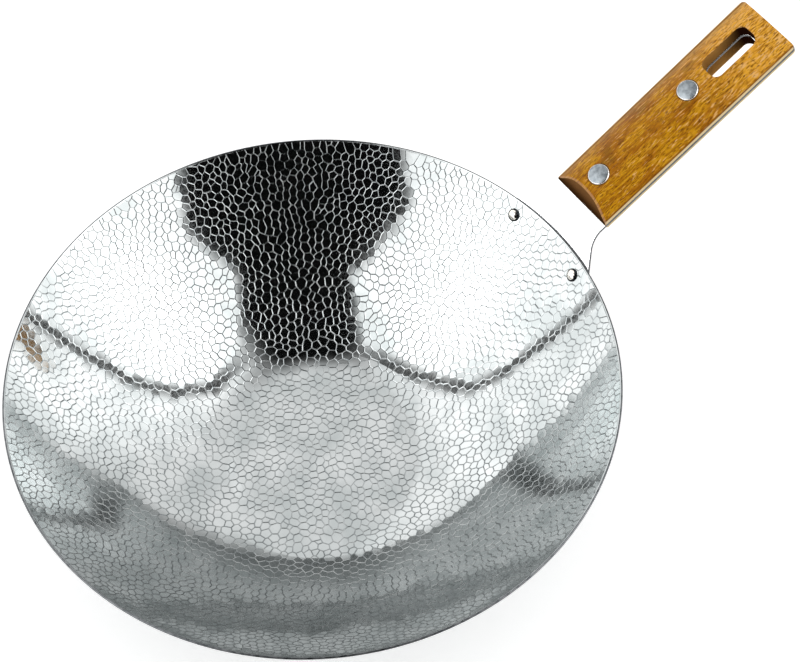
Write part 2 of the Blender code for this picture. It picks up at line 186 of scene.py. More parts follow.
# Place of the lamp in each softbox, on the same map, and the distances of its fall-off
LAMP_SPOT = (50.0, -12.0)
LAMP_INNER, LAMP_OUTER = 5.0, 27.0


# Shape of the bowl


def wall_arcs():
    """Arcs of the inside profile: centre radius, centre height, radius, start and end slope."""
    radius, height, last = FLAT_RADIUS, BOWL_SHEET + KNUCKLE_RADIUS, KNUCKLE_RADIUS
    arcs = [(radius, height, last, 0.0, KNUCKLE_SLOPE)]
    for slope, arc in ((KNUCKLE_SLOPE, LOWER_WALL_RADIUS), (LOWER_WALL_SLOPE, UPPER_WALL_RADIUS)):
        radius += (last - arc) * math.sin(slope)
        height -= (last - arc) * math.cos(slope)
        last = arc
        arcs.append((radius, height, arc, slope, LOWER_WALL_SLOPE))
    half = BOWL_SHEET / 2
    end = math.asin((RIM_RADIUS - half - radius) / (last + half))
    arcs[2] = arcs[2][:4] + (end,)
    return arcs


ARCS = wall_arcs()
RIM_SLOPE = ARCS[2][4]
WALL_LENGTH = sum(arc[2] * (arc[4] - arc[3]) for arc in ARCS)
DISC_RADIUS = FLAT_RADIUS + WALL_LENGTH / DRAWING_STRETCH


def arc_point(arc, slope, offset):
    """Radius and height on an arc at a slope, moved outwards through the sheet by offset."""
    reach = arc[2] + offset
    return arc[0] + reach * math.sin(slope), arc[1] - reach * math.cos(slope)


def pressed_point(run, offset):
    """Radius and height on the drawn bowl of a distance from the middle of the flat disc."""
    if run <= FLAT_RADIUS:
        return run, BOWL_SHEET - offset
    run = (run - FLAT_RADIUS) * DRAWING_STRETCH
    for arc in ARCS:
        length = arc[2] * (arc[4] - arc[3])
        if run <= length or arc is ARCS[2]:
            return arc_point(arc, arc[3] + min(run, length) / arc[2], offset)
        run -= length


# Shape of the bracket and place of the handle


def wall_seat(slope, across):
    """Point on the bracket's seat, SEAT_GAP outside the wall, at a distance across."""
    radius, height = arc_point(ARCS[2], slope, BOWL_SHEET + SEAT_GAP)
    return math.sqrt(radius * radius - across * across), across, height


SEAT_RADIUS = UPPER_WALL_RADIUS + BOWL_SHEET + SEAT_GAP
BEND_X, _, BEND_Z = wall_seat(RIM_SLOPE + BEND_RISE / SEAT_RADIUS, 0.0)
FRONT_X = RIM_RADIUS + NECK_REACH
FRONT_Z = BEND_Z + (FRONT_X - BEND_X) * math.tan(HANDLE_TILT)
HANDLE_FRAME = Matrix.Translation((FRONT_X, 0.0, FRONT_Z)) @ Matrix.Rotation(-HANDLE_TILT, 4, "Y")
BEND_REACH = BEND_RADIUS * math.tan((RIM_SLOPE - HANDLE_TILT) / 2)


def bend_slope(across):
    """Wall slope where the plane of the tang meets the bracket's seat, carried on past the rim."""
    low, high = 0.0, math.pi / 2
    for _ in range(BISECTION_STEPS):
        slope = (low + high) / 2
        x, _, z = wall_seat(slope, across)
        above = (z - FRONT_Z) * math.cos(HANDLE_TILT) - (x - FRONT_X) * math.sin(HANDLE_TILT)
        low, high = (slope, high) if above < 0 else (low, slope)
    return slope


def bend_along(across):
    """Distance along the tang's plane to the bend, negative ahead of the grip."""
    return (wall_seat(bend_slope(across), across)[0] - FRONT_X) / math.cos(HANDLE_TILT)


def bracket_face(along, across):
    """Upper face of the bracket: on the wall, round the bend, then on the tang."""
    past = along - bend_along(across)
    if past >= BEND_REACH:
        return HANDLE_FRAME @ Vector((along, across, 0.0))
    slope = bend_slope(across)
    if past <= -BEND_REACH:
        return Vector(wall_seat(slope + past / SEAT_RADIUS, across))
    share = (past + BEND_REACH) / (2 * BEND_REACH)
    start = Vector(wall_seat(slope - BEND_REACH / SEAT_RADIUS, across))
    corner = Vector(wall_seat(slope, across))
    end = HANDLE_FRAME @ Vector((along - past + BEND_REACH, across, 0.0))
    return (1 - share) ** 2 * start + 2 * share * (1 - share) * corner + share ** 2 * end


def bracket_place(along, across, up):
    """Place a point of the flat blank on the bent bracket."""
    step = DIFFERENCE_STEP
    run = bracket_face(along + step, across) - bracket_face(along - step, across)
    side = bracket_face(along, across + step) - bracket_face(along, across - step)
    return bracket_face(along, across) + run.cross(side).normalized() * up


def half_grip(along):
    """Half the width of the tapered grip, and of the tang flush with it."""
    growth = (GRIP_END_WIDTH - GRIP_FRONT_WIDTH) / GRIP_LENGTH
    return (GRIP_FRONT_WIDTH + growth * along) / 2


def crown(across):
    """Height of a scale's crowned top over its flat base, with its flanks sanded down."""
    half = GRIP_END_WIDTH / 2 + CROWN_OVERHANG
    rise = CROWN_HEIGHT - CROWN_EDGE_HEIGHT
    radius = (half * half + rise * rise) / (2 * rise)
    arc = CROWN_HEIGHT - radius + math.sqrt(radius * radius - across * across)
    flank = (abs(across) / half) ** 4
    return arc - FLANK_SANDING * 4 * flank * (1 - flank)


SLOT_START = GRIP_LENGTH - SLOT_END_MARGIN - SLOT_LENGTH
RIVET_PLACES = {"front": GRIP_RIVET_FRONT_INSET, "rear": SLOT_START - GRIP_RIVET_TO_SLOT}
HEAD_SEAT = SEAT_GAP + CROWN_HEIGHT - GRIP_RIVET_SEAT_DEPTH


# Materials


def colour(hex_code):
    """Linear colour from an sRGB hex value."""
    parts = [int(hex_code[index:index + 2], 16) / 255 for index in (1, 3, 5)]
    linear = [p / 12.92 if p <= 0.04045 else ((p + 0.055) / 1.055) ** 2.4 for p in parts]
    return (*linear, 1.0)


def feed(tree, node, inputs):
    """Give a node's inputs their constants, or links from the outputs of other nodes."""
    for name, value in inputs.items():
        if isinstance(value, bpy.types.NodeSocket):
            tree.links.new(value, node.inputs[name])
        else:
            node.inputs[name].default_value = value


def add_node(tree, kind, inputs, output=0, **settings):
    """Add a node with its settings and inputs, and give one of its outputs."""
    node = tree.nodes.new("ShaderNode" + kind)
    for name, value in settings.items():
        setattr(node, name, value)
    feed(tree, node, inputs)
    return node.outputs[output]


def new_material(name):
    """A Principled material, its node tree and its shader."""
    material = bpy.data.materials.new(name)
    material.use_nodes = True
    return material, material.node_tree, material.node_tree.nodes["Principled BSDF"]


def plain_steel(name, dark, light, grain, smooth, rough, relief):
    """Steel in patches from dark to light, grain metres apart, the light ones raised by relief."""
    material, tree, shader = new_material(name)
    place = add_node(tree, "TexCoord", {}, "Object")
    patch = add_node(tree, "TexNoise", {"Vector": place, "Scale": 1 / grain, "Detail": 3.0})
    share = add_node(tree, "MapRange", {"Value": patch, "From Min": 0.35, "From Max": 0.65})
    tint = {"Factor": share, MIX_A: colour(dark), MIX_B: colour(light)}
    blur = {"Value": share, "To Min": smooth, "To Max": rough}
    feed(tree, shader, {
        "Metallic": 1.0,
        "Base Color": add_node(tree, "Mix", tint, MIX_RESULT, data_type="RGBA"),
        "Roughness": add_node(tree, "MapRange", blur),
        "Normal": add_node(tree, "Bump", {"Height": patch, "Distance": relief}),
    })
    return material


def polished_steel():
    """Stainless steel sheet, pressed and then mirror polished: cold grey, sharp reflections."""
    material, tree, shader = new_material("polished_stainless_steel")
    place = add_node(tree, "TexCoord", {}, "Object")
    # Clouds 20 to 40 mm wide, where the polish was worked longer
    cloud = add_node(tree, "TexNoise", {"Vector": place, "Scale": 1 / 0.024, "Detail": 4.0})
    share = add_node(tree, "MapRange", {"Value": cloud, "From Min": 0.36, "From Max": 0.64})
    tint = {"Factor": share, MIX_A: colour("#A4A9A9"), MIX_B: colour("#BBBEBE")}
    # Polishing haze in flecks of about 1.5 mm
    haze = add_node(tree, "TexNoise", {"Vector": place, "Scale": 1 / 0.0015, "Detail": 2.0})
    blur = {"Value": haze, "To Min": 0.03, "To Max": 0.13}
    # Slow waves of the flat base, which the wall's curvature stretches out
    apart = add_node(tree, "VectorMath", {0: place}, "Value", operation="LENGTH")
    flat = add_node(tree, "MapRange", {"Value": apart, "From Min": 0.066, "From Max": 0.046})
    wave = add_node(tree, "TexNoise", {"Vector": place, "Scale": 1 / 0.020, "Detail": 1.5})
    height = add_node(tree, "Math", {0: wave, 1: flat}, operation="MULTIPLY")
    feed(tree, shader, {
        "Metallic": 1.0,
        "Base Color": add_node(tree, "Mix", tint, MIX_RESULT, data_type="RGBA"),
        "Roughness": add_node(tree, "MapRange", blur),
        "Normal": add_node(tree, "Bump", {"Height": height, "Distance": 0.0011}),
    })
    return material


def grip_place(tree):
    """Object coordinates turned into the grip's own frame: X along it, Z up from the tang."""
    place = add_node(tree, "TexCoord", {}, "Object")
    front, tilt = (FRONT_X, 0.0, FRONT_Z), (0.0, -HANDLE_TILT, 0.0)
    turn = {"Vector": place, "Location": front, "Rotation": tilt}
    return add_node(tree, "Mapping", turn, vector_type="TEXTURE")


def stamped_steel():
    """Stainless steel blank, drum polished: bright, with hairlines along the handle."""
    material, tree, shader = new_material("stamped_stainless_steel")
    place = grip_place(tree)
    cloud = add_node(tree, "TexNoise", {"Vector": place, "Scale": 1 / 0.009, "Detail": 3.0})
    tint = {"Factor": cloud, MIX_A: colour("#DDDFE0"), MIX_B: colour("#F2F2F2")}
    # Hairlines 0.25 mm apart, coarser than the real ones, so that they show
    drawn = add_node(tree, "Mapping", {"Vector": place, "Scale": (30.0, 4000.0, 4000.0)})
    hairline = add_node(tree, "TexNoise", {"Vector": drawn, "Scale": 1.0, "Detail": 2.0})
    blur = {"Value": hairline, "To Min": 0.16, "To Max": 0.28}
    feed(tree, shader, {
        "Metallic": 1.0,
        "Base Color": add_node(tree, "Mix", tint, MIX_RESULT, data_type="RGBA"),
        "Roughness": add_node(tree, "MapRange", blur),
        "Normal": add_node(tree, "Bump", {"Height": hairline, "Distance": 0.000002}),
    })
    return material


def varnished_wood():
    """Golden brown hardwood under thin varnish: short pores along the grip, blotches of stain, and
    painted shade and highlights at its edges, its ends and in its slot.
    """
    material, tree, shader = new_material("varnished_hardwood")
    straight = grip_place(tree)
    along, across, up = (add_node(tree, "SeparateXYZ", {0: straight}, axis) for axis in "XYZ")
    aside = add_node(tree, "Math", {0: across}, operation="ABSOLUTE")
    # The grain wanders by about 1 mm over 20 mm
    bends = {"Vector": straight, "Scale": 1 / 0.022, "Detail": 2.0}
    wander = add_node(tree, "TexNoise", bends, "Color")
    shift = {0: wander, 1: (0.0, 0.003, 0.003), 2: straight}
    place = add_node(tree, "VectorMath", shift, operation="MULTIPLY_ADD")
    noises = []
    for sizes, detail in (
        ((0.020, 0.008, 0.012), 6.0),
        ((0.014, 0.0013, 0.003), 3.0),
        ((0.0052, 0.0008, 0.0014), 2.0),
        ((0.0028, 0.00045, 0.0010), 2.5),
    ):
        scale = [1 / size for size in sizes]
        stretched = add_node(tree, "Mapping", {"Vector": place, "Scale": scale})
        noise = {"Vector": stretched, "Scale": 1.0, "Detail": detail}
        noises.append(add_node(tree, "TexNoise", noise))
    blotch, ring, streak, pore = noises
    # Painted highlight towards the far end, partly pale streaks of the grain; the flanks, where
    # shade and highlight are painted, follow the grip's taper
    pale_streaks_and_highlight = add_node(tree, "Math", {0: along, 1: 0.9, 2: streak}, operation="MULTIPLY_ADD")
    taper = (GRIP_FRONT_WIDTH - GRIP_END_WIDTH) / GRIP_LENGTH / 2
    flank = add_node(tree, "Math", {0: along, 1: taper, 2: aside}, operation="MULTIPLY_ADD")
    # End grain drinks the stain and is darker; painted shade darkens it further towards the tang
    normal = add_node(tree, "NewGeometry", {}, "Normal")
    ahead = HANDLE_FRAME.to_3x3() @ Vector((-1.0, 0.0, 0.0))
    facing = add_node(tree, "VectorMath", {0: normal, 1: ahead}, "Value", operation="DOT_PRODUCT")
    end_grain_and_shade = add_node(tree, "Math", {0: up, 1: -45.0, 2: facing}, operation="MULTIPLY_ADD")
    # Painted highlight along the front edge of the crown, which leans back as it rises
    lean = {0: up, 1: -math.tan(FRONT_LEAN), 2: along}
    behind = add_node(tree, "Math", lean, operation="MULTIPLY_ADD")

    tone = colour("#AC6E0A")
    for value, start, end, strength, stain in (
        (blotch, 0.44, 0.58, 1.0, "#C68C0E"),
        (blotch, 0.43, 0.33, 0.6, "#7A5A10"),
        (ring, 0.50, 0.38, 0.55, "#8E4E04"),
        (ring, 0.56, 0.68, 0.5, "#D8A22C"),
        # Painted highlight towards the far end, partly with pale streaks of the grain
        (along, 0.070, 0.125, 0.65, "#F2B03C"),
        (pale_streaks_and_highlight, 0.63, 0.76, 0.8, "#E6B470"),
        (streak, 0.47, 0.36, 0.6, "#844A04"),
        (pore, 0.47, 0.36, 0.85, "#683A04"),
        # Painted sheen on one flank, painted shadow along the crown's edge, and a painted
        # highlight on the flank below it
        (across, 0.0155, 0.0190, 0.5, "#AE8A5C"),
        (flank, 0.0184, 0.0193, 0.8, "#74420A"),
        (flank, 0.0195, 0.0199, 1.0, "#DDC79A"),
        # Painted highlights: a pale band behind the front edge of the crown, and on that edge's
        # rounding
        (behind, 0.0014, 0.0007, 0.35, "#C49C80"),
        (facing, 0.10, 0.25, 0.8, "#D2A870"),
        (facing, 0.70, 0.84, 0.85, "#5A3012"),
        # Painted shade: the end grain darkest next to the tang
        (end_grain_and_shade, 0.45, 0.80, 0.9, "#2C1808"),
    ):
        reach = {"Value": value, "From Min": start, "From Max": end, "To Max": strength}
        share = add_node(tree, "MapRange", reach, interpolation_type="SMOOTHSTEP")
        layer = {"Factor": share, MIX_A: tone, MIX_B: colour(stain)}
        tone = add_node(tree, "Mix", layer, MIX_RESULT, data_type="RGBA")
    # Painted shade on the walls of the slot, darker towards its far end
    depth = 1.0
    for value, middle, half in (
        (across, 0.0, SLOT_WIDTH / 2 + SLOT_SHADE_DEPTH),
        (along, SLOT_START + SLOT_LENGTH / 2, SLOT_LENGTH / 2 + SLOT_SHADE_DEPTH),
        (up, -BRACKET_SHEET / 2, BRACKET_SHEET / 2 + CROWN_HEIGHT - SLOT_SHADE_DROP),
    ):
        offset = add_node(tree, "Math", {0: value, 1: middle}, operation="SUBTRACT")
        apart = add_node(tree, "Math", {0: offset}, operation="ABSOLUTE")
        within = add_node(tree, "Math", {0: half, 1: apart}, operation="SUBTRACT")
        depth = add_node(tree, "Math", {0: depth, 1: within}, operation="MINIMUM")
    fade = {"Value": depth, "From Min": 0.0, "From Max": SLOT_SHADE_DEPTH / 2}
    inside = add_node(tree, "MapRange", fade)
    start, end = SLOT_START + SLOT_SHADE_START, SLOT_START + SLOT_SHADE_END
    run = add_node(tree, "MapRange", {"Value": along, "From Min": start, "From Max": end})
    layer = {"Factor": run, MIX_A: colour("#AC8044"), MIX_B: colour("#2A1408")}
    shade = add_node(tree, "Mix", layer, MIX_RESULT, data_type="RGBA")
    layer = {"Factor": inside, MIX_A: tone, MIX_B: shade}
    tone = add_node(tree, "Mix", layer, MIX_RESULT, data_type="RGBA")
    # Neither the slot nor the end grain keeps a gloss
    end_grain = add_node(tree, "MapRange", {"Value": facing, "From Min": 0.5, "From Max": 0.8})
    bare = add_node(tree, "Math", {0: inside, 1: end_grain}, operation="MAXIMUM")
    gloss = {"Value": bare, "To Min": 0.05, "To Max": 0.0}
    varnish = {"Value": bare, "To Min": 0.09, "To Max": 0.0}
    blur = {"Value": pore, "To Min": 0.55, "To Max": 0.35}
    feed(tree, shader, {
        "Base Color": tone,
        "Specular IOR Level": add_node(tree, "MapRange", gloss),
        "Coat Weight": add_node(tree, "MapRange", varnish),
        "Coat Roughness": 0.15,
        "Roughness": add_node(tree, "MapRange", blur),
        "Normal": add_node(tree, "Bump", {"Height": pore, "Distance": 0.00012}),
    })
    return material


# Modelling tools


def finished(name, shape, materials, matrix=None):
    """Object from a bmesh, placed by its mesh, with smooth faces and sharp edges by angle."""
    if matrix is not None:
        bmesh.ops.transform(shape, matrix=matrix, verts=shape.verts)
    mesh = bpy.data.meshes.new(name)
    shape.to_mesh(mesh)
    shape.free()
    mesh.shade_smooth()
    mesh.set_sharp_from_angle(angle=SHARP_ANGLE)
    for material in materials:
        mesh.materials.append(material)
    piece = bpy.data.objects.new(name, mesh)
    bpy.context.scene.collection.objects.link(piece)
    return piece


def add_outline(shape, corners):
    """Closed outline in the XY plane through corners given as x, y and fillet radius."""
    verts = [shape.verts.new((x, y, 0.0)) for x, y, _ in corners]
    shape.faces.new(verts)
    for index, (x, y, radius) in enumerate(corners):
        if radius == 0:
            continue
        corner = Vector((x, y))
        before = (Vector(corners[index - 1][:2]) - corner).normalized()
        after = (Vector(corners[(index + 1) % len(corners)][:2]) - corner).normalized()
        reach = radius / math.tan(before.angle(after) / 2)
        bmesh.ops.bevel(
            shape, geom=[verts[index]], offset=reach, offset_type="OFFSET",
            segments=CORNER_FACETS, profile=0.5, affect="VERTICES", material=-1,
        )
    bmesh.ops.recalc_face_normals(shape, faces=shape.faces)


def fill_between_outlines(shape):
    """Drop the faces inside each outline and fill the plate between them."""
    bmesh.ops.delete(shape, geom=shape.faces[:], context="FACES_ONLY")
    bmesh.ops.triangle_fill(
        shape, use_beauty=True, use_dissolve=False, edges=shape.edges[:], normal=(0.0, 0.0, 1.0)
    )


def slice_plate(shape, axis, positions, limit=math.inf):
    """Cut the plate along lines square to an axis, ahead of limit along the handle."""
    for position in positions:
        point, normal = Vector(), Vector()
        point[axis], normal[axis] = position, 1.0
        faces = [face for face in shape.faces if face.calc_center_median().x < limit]
        edges = dict.fromkeys(edge for face in faces for edge in face.edges)
        verts = dict.fromkeys(vert for face in faces for vert in face.verts)
        bmesh.ops.bisect_plane(
            shape, geom=[*faces, *edges, *verts], dist=CUT_SNAP, plane_co=point, plane_no=normal
        )


def extruded(shape):
    """Extrude the whole plate, and give its new verts, which still lie on the old ones."""
    made = bmesh.ops.extrude_face_region(shape, geom=shape.faces[:] + shape.edges[:])["geom"]
    return [thing for thing in made if isinstance(thing, bmesh.types.BMVert)]


def evenly(start, end, count):
    """Positions between two ends, both left out."""
    return [start + (end - start) * step / count for step in range(1, count)]


def mirrored(half):
    """Outline corners of a symmetric plate from those of its +Y half."""
    return half + [(x, -y, radius) for x, y, radius in reversed(half)]


def slot_corners(shrink):
    """Corners of the hanging slot, made smaller all round by shrink."""
    half, radius = SLOT_WIDTH / 2 - shrink, SLOT_CORNER - shrink
    end = GRIP_LENGTH - SLOT_END_MARGIN - shrink
    return mirrored([(SLOT_START + shrink, half, radius), (end, half, radius)])


def turned(profile):
    """Closed solid of revolution about Z from a profile of radius and height."""
    shape = bmesh.new()
    verts = [shape.verts.new((radius, 0.0, height)) for radius, height in profile]
    edges = [shape.edges.new(pair) for pair in zip(verts, verts[1:])]
    bmesh.ops.spin(
        shape, geom=verts + edges, cent=(0.0, 0.0, 0.0), axis=(0.0, 0.0, 1.0),
        angle=math.tau, steps=TURN_STEPS, use_merge=True,
    )
    bmesh.ops.remove_doubles(shape, verts=shape.verts, dist=MERGE_DISTANCE)
    bmesh.ops.recalc_face_normals(shape, faces=shape.faces)
    return shape


def arc_profile(radius, base, height):
    """Profile of a shallow dome from its tip to its edge; a negative height points down."""
    sphere = (radius * radius + height * height) / (2 * abs(height))
    spread = math.asin(radius / sphere)
    lift = math.copysign(1.0, height)
    points = []
    for step in range(DOME_FACETS + 1):
        angle = spread * step / DOME_FACETS
        fall = lift * sphere * (1 - math.cos(angle))
        points.append((sphere * math.sin(angle), base + height - fall))
    return points


# Bowl


def cell_disc(shape):
    """Honeycomb of irregular cells on a flat disc: the dual of a shaken triangle lattice."""
    shaker = random.Random(CELL_SEED)
    row_pitch = CELL_PITCH * math.sqrt(3) / 2
    columns = 2 * math.ceil((DISC_RADIUS + SPARE_PITCHES * CELL_PITCH) / CELL_PITCH)
    rows = 2 * math.ceil((DISC_RADIUS + SPARE_PITCHES * row_pitch) / row_pitch)
    bmesh.ops.create_grid(shape, x_segments=columns, y_segments=rows, size=1.0)
    for vert in shape.verts:
        column = round((vert.co.x + 1) * columns / 2)
        row = round((vert.co.y + 1) * rows / 2)
        x = (column - columns / 2 + (row % 2) / 2) * CELL_PITCH
        y = (row - rows / 2) * row_pitch
        reach = CELL_JITTER * CELL_PITCH
        vert.co = (x + shaker.uniform(-reach, reach), y + shaker.uniform(-reach, reach), 0.0)
    bmesh.ops.triangulate(shape, faces=shape.faces, quad_method="SHORT_EDGE")
    even_out(shape)
    bmesh.ops.smooth_vert(
        shape, verts=shape.verts, factor=CELL_EVENING, use_axis_x=True, use_axis_y=True
    )
    even_out(shape)
    lattice_verts = shape.verts[:]
    lattice_edges = [edge for edge in shape.edges if not edge.is_boundary]
    bmesh.ops.poke(shape, faces=shape.faces[:])
    bmesh.ops.rotate_edges(shape, edges=lattice_edges, use_ccw=False)
    rest = [vert for vert in lattice_verts if vert.is_boundary]
    middles = [vert for vert in lattice_verts if not vert.is_boundary]
    bmesh.ops.dissolve_verts(shape, verts=middles)
    bmesh.ops.delete(shape, geom=rest, context="VERTS")
    beyond = [
        face for face in shape.faces
        if min(vert.co.length for vert in face.verts) > DISC_RADIUS - NARROWEST_RIM_CELL
    ]
    bmesh.ops.delete(shape, geom=beyond, context="FACES")
    for vert in shape.verts:
        if vert.co.length > DISC_RADIUS - SHORTEST_SIDE or vert.is_boundary:
            vert.co *= DISC_RADIUS / vert.co.length
    bmesh.ops.remove_doubles(shape, verts=shape.verts, dist=SHORTEST_SIDE)
    loose = [edge for edge in shape.edges if not edge.link_faces]
    bmesh.ops.delete(shape, geom=loose, context="EDGES")
    longest = []
    for face in shape.faces:
        if face.calc_area() < SMALLEST_CELL:
            inner = [edge for edge in face.edges if not edge.is_boundary]
            longest.append(max(inner, key=lambda edge: edge.calc_length()))
    bmesh.ops.dissolve_edges(shape, edges=list(dict.fromkeys(longest)), use_verts=True)
    reach = CORNER_JITTER * CELL_PITCH
    for vert in shape.verts:
        if vert.co.length < DISC_RADIUS - CELL_PITCH:
            vert.co.x += shaker.uniform(-reach, reach)
            vert.co.y += shaker.uniform(-reach, reach)


def even_out(shape):
    """Turn edges of the lattice until its triangles are as round as they can be."""
    bmesh.ops.beautify_fill(shape, faces=shape.faces[:], edges=shape.edges[:], method="AREA")


def make_bowl(steel, grooves, sheared_and_shaded_edge):
    """One sheet: honeycomb of mirror cells inside, plain polished wall outside."""
    shape = bmesh.new()
    cell_disc(shape)
    cells = shape.faces[:]
    walls = bmesh.ops.inset_individual(
        shape, faces=cells, thickness=GROOVE_HALF_WIDTH, use_even_offset=False
    )["faces"]
    rim = [edge for edge in shape.edges if edge.is_boundary]
    raised = {vert for face in cells for vert in face.verts}
    for vert in shape.verts:
        run, azimuth = vert.co.length, math.atan2(vert.co.y, vert.co.x)
        radius, height = pressed_point(run, 0.0 if vert in raised else GROOVE_DEPTH)
        spoke = Vector((math.cos(azimuth), math.sin(azimuth), 0.0))
        vert.co = spoke * radius + Vector((0.0, 0.0, height))
    # Groove walls take the groove steel, painted darker as shade
    for face in walls:
        face.material_index = 1
    profile = rim_and_outside()
    for step, (radius, height) in enumerate(profile):
        made = bmesh.ops.extrude_edge_only(shape, edges=rim)["geom"]
        rim = [thing for thing in made if isinstance(thing, bmesh.types.BMEdge)]
        for face in (thing for thing in made if isinstance(thing, bmesh.types.BMFace)):
            # Faces of the half-round rim take the edge steel, painted dark as shade and dark
            # reflection
            face.material_index = 2 if 0 < step < RIM_FACETS else 0
        for vert in {end for edge in rim for end in edge.verts}:
            spoke = Vector((vert.co.x, vert.co.y, 0.0)).normalized()
            vert.co = spoke * radius + Vector((0.0, 0.0, height))
    bmesh.ops.contextual_create(shape, geom=rim)
    bmesh.ops.recalc_face_normals(shape, faces=shape.faces)
    piece = finished("wok_bowl", shape, [steel, grooves, sheared_and_shaded_edge])
    give_wall_normals(piece.data)
    return piece


def rim_and_outside():
    """Half-round rim edge, then the outside face down to the flat underside."""
    half = (BOWL_SHEET - GROOVE_DEPTH) / 2
    centre_r, centre_z = arc_point(ARCS[2], RIM_SLOPE, GROOVE_DEPTH + half)
    points = []
    for step in range(1, RIM_FACETS):
        turn = RIM_SLOPE + math.pi / 2 - math.pi * step / RIM_FACETS
        points.append((centre_r + half * math.cos(turn), centre_z + half * math.sin(turn)))
    points.append(arc_point(ARCS[2], RIM_SLOPE, BOWL_SHEET))
    for arc, facets in zip(reversed(ARCS), OUTSIDE_FACETS):
        for step in range(1, facets + 1):
            slope = arc[4] + (arc[3] - arc[4]) * step / facets
            points.append(arc_point(arc, slope, BOWL_SHEET))
    return points


def drawn_place(radius, height):
    """Slope of the drawn wall at a point of the sheet, and its depth below the inside face."""
    if radius < FLAT_RADIUS:
        return 0.0, BOWL_SHEET - height
    for arc in ARCS:
        across, down = radius - arc[0], arc[1] - height
        slope = math.atan2(across, down)
        if slope <= arc[4] or arc is ARCS[2]:
            return slope, math.hypot(across, down) - arc[2]


def give_wall_normals(mesh):
    """True normals of the drawn wall, with each cell a little swollen and askew."""
    shaker = random.Random(CELL_SEED)
    outside, below_grooves = BOWL_SHEET * 0.99, GROOVE_DEPTH * 1.5
    # A normal of zeros leaves the corner, here on the rim's edge, with its own
    normals = [(0.0, 0.0, 0.0)] * len(mesh.loops)
    for face in mesh.polygons:
        centre = face.center.copy()
        lean = Vector([shaker.gauss(0.0, CELL_LEAN) for _ in range(3)])
        for loop in face.loop_indices:
            point = mesh.vertices[mesh.loops[loop].vertex_index].co
            slope, depth = drawn_place(math.hypot(point.x, point.y), point.z)
            spoke = Vector((point.x, point.y, 0.0)).normalized()
            normal = Vector((0.0, 0.0, math.cos(slope))) - spoke * math.sin(slope)
            if depth > outside:
                normal.negate()
            elif depth > below_grooves:
                continue
            elif face.material_index == 0:
                normal += lean + (point - centre) / (CELL_PITCH / 2) * CELL_SWELL
            elif depth < GROOVE_DEPTH / 2:
                normal += face.normal
            else:
                normal = face.normal.copy()
            normals[loop] = tuple(normal.normalized())
    mesh.normals_split_custom_set(normals)


# Handle


def make_bracket(steel, sheared_and_shaded_edge):
    """Blank with its hanging slot, rounded at its edges, then bent onto the wall."""
    shape = bmesh.new()
    half_flange = BOWL_RIVET_SPACING / 2 + BOWL_RIVET_SIDE_MARGIN
    bend = bend_along(0.0)
    add_outline(shape, mirrored([
        (bend - FLANGE_DEPTH, half_flange, FLANGE_CORNER),
        (bend - SHOULDER_DROP, half_flange, SHOULDER_FILLET),
        (-NECK_STRAIGHT, half_grip(-NECK_STRAIGHT), NECK_FILLET),
        (GRIP_LENGTH, half_grip(GRIP_LENGTH), GRIP_END_CORNER),
    ]))
    add_outline(shape, slot_corners(SLOT_TANG_LIP))
    fill_between_outlines(shape)
    top = extruded(shape)
    for vert in shape.verts:
        vert.co.z = -BRACKET_SHEET
    for vert in top:
        vert.co.z = 0.0
    bmesh.ops.recalc_face_normals(shape, faces=shape.faces)
    around = [edge for edge in shape.edges if edge.calc_face_angle(0.0) > SHARP_ANGLE]
    bmesh.ops.bevel(
        shape, geom=around, offset=BLANK_EDGE_ROUNDING, offset_type="OFFSET", segments=2,
        profile=0.5, affect="EDGES", clamp_overlap=True, material=-1,
    )
    # Sides of the blank take the edge steel, painted dark
    for face in shape.faces:
        face.material_index = 1 if abs(face.normal.z) < 0.9 else 0
    start, end = bend_along(half_flange) - BEND_REACH, bend + BEND_REACH
    flange_end = bend - FLANGE_DEPTH
    slice_plate(shape, 0, evenly(flange_end, start, FLANGE_CUTS), end)
    slice_plate(shape, 0, [start] + evenly(start, end, BEND_CUTS) + [end], end)
    slice_plate(shape, 1, evenly(-half_flange, half_flange, ACROSS_CUTS), end)
    for vert in shape.verts:
        vert.co = bracket_place(*vert.co)
    return finished("wok_handle_bracket", shape, [steel, sheared_and_shaded_edge])


